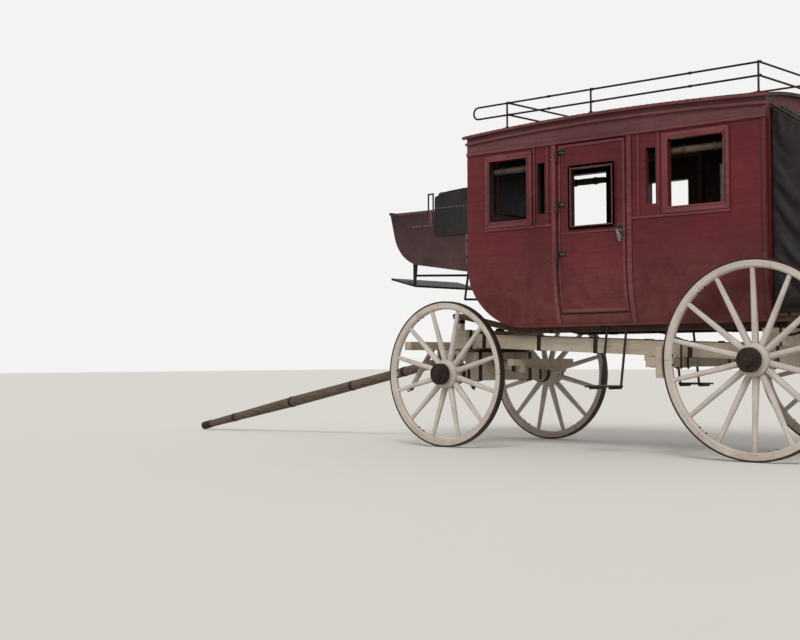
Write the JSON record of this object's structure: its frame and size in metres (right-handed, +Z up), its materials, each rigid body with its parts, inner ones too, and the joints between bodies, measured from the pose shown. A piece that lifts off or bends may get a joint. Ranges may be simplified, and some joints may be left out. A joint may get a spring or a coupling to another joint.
{
  "type": "stagecoach",
  "caption": "Horse-drawn passenger coach with a closed cabin, open driver's boot, roof rack, leather rear boot, spoked wheels and a steered front gear with a draught pole.",
  "frame": {"origin": "on the ground under the middle of the overall length, pole tip to rear boot, on the centre line", "axes": "+X forward along the pole, +Y to the coach's left, +Z up"},
  "size_m": [7.6832, 1.7566, 2.9093],
  "materials": {
    "iron_tyre": "satin",
    "black_iron": "satin",
    "wheel_paint": "matte",
    "gear_paint": "matte",
    "strap_leather": "matte",
    "black_leather": "satin",
    "roof_canvas": "matte",
    "boot_paint": "matte",
    "bare_wood": "matte",
    "inner_wood": "matte",
    "body_paint": "matte"
  },
  "bodies": {
    "coach": {"perch_beams": "gear_paint", "rear_axle_bed": "gear_paint", "rear_axle_arms": "black_iron", "rear_bolster": "gear_paint", "front_transom": "gear_paint", "upper_ring": "black_iron", "standards": "gear_paint", "thoroughbraces": "strap_leather", "cabin_floor": "body_paint", "cabin_front": "body_paint", "cabin_back": "body_paint", "cabin_roof": "roof_canvas", "roof_rack": "black_iron", "driver_boot": "boot_paint", "boot_irons": "black_iron", "driver_seat": "inner_wood", "driver_cushion": "black_leather", "seat_rails": "black_iron", "rear_platform": "inner_wood", "rear_boot_cover": "black_leather", "cabin_benches": "inner_wood", "cabin_cushions": "black_leather", "window_curtains": "black_leather", "steps": "black_iron", "brake_beam": "gear_paint", "brake_lever": "black_iron", "door_pintles": "black_iron", "front_quarter_left": "body_paint", "rear_quarter_left": "body_paint", "cornice_left": "body_paint", "front_quarter_right": "body_paint", "rear_quarter_right": "body_paint", "cornice_right": "body_paint"},
    "front_gear": {"front_axle_bed": "gear_paint", "front_axle_arms": "black_iron", "lower_bolster": "gear_paint", "lower_ring": "black_iron", "king_pin": "black_iron", "hounds": "gear_paint", "pole_bolt": "black_iron", "swingletrees": "gear_paint"},
    "pole": {"pole_shaft": "bare_wood", "pole_ferrule": "black_iron"},
    "rear_wheel_left": {"rear_wheel_tyre_left": "iron_tyre", "rear_wheel_wood_left": "wheel_paint", "rear_wheel_irons_left": "black_iron"},
    "rear_wheel_right": {"rear_wheel_tyre_right": "iron_tyre", "rear_wheel_wood_right": "wheel_paint", "rear_wheel_irons_right": "black_iron"},
    "front_wheel_left": {"front_wheel_tyre_left": "iron_tyre", "front_wheel_wood_left": "wheel_paint", "front_wheel_irons_left": "black_iron"},
    "front_wheel_right": {"front_wheel_tyre_right": "iron_tyre", "front_wheel_wood_right": "wheel_paint", "front_wheel_irons_right": "black_iron"},
    "door_left": {"door_left": "body_paint", "door_irons_left": "black_iron"},
    "door_right": {"door_right": "body_paint", "door_irons_right": "black_iron"}
  },
  "joints": [
    {"name": "steering", "type": "hinge", "parent": "coach", "child": "front_gear", "pos_m": [-0.25642, 0, 0.8183], "axis": [0, 0, 1], "range_deg": [-16, 16]},
    {"name": "pole_lift", "type": "hinge", "parent": "front_gear", "child": "pole", "pos_m": [0.18358, 0, 0.7725], "axis": [0, -1, 0], "range_deg": [0, 12]},
    {"name": "rear_left_wheel_turn", "type": "hinge", "parent": "coach", "child": "rear_wheel_left", "pos_m": [-3.11642, 0.76, 0.7253], "axis": [0, 1, 0], "continuous": true},
    {"name": "rear_right_wheel_turn", "type": "hinge", "parent": "coach", "child": "rear_wheel_right", "pos_m": [-3.11642, -0.76, 0.7253], "axis": [0, 1, 0], "continuous": true},
    {"name": "front_left_wheel_turn", "type": "hinge", "parent": "front_gear", "child": "front_wheel_left", "pos_m": [-0.25642, 0.76, 0.6183], "axis": [0, 1, 0], "continuous": true},
    {"name": "front_right_wheel_turn", "type": "hinge", "parent": "front_gear", "child": "front_wheel_right", "pos_m": [-0.25642, -0.76, 0.6183], "axis": [0, 1, 0], "continuous": true},
    {"name": "left_door_swing", "type": "hinge", "parent": "coach", "child": "door_left", "pos_m": [-1.32442, 0.6146, 1.96], "axis": [0, 0, -1], "range_deg": [0, 100]},
    {"name": "right_door_swing", "type": "hinge", "parent": "coach", "child": "door_right", "pos_m": [-1.32442, -0.6146, 1.96], "axis": [0, 0, 1], "range_deg": [0, 100]}
  ]
}
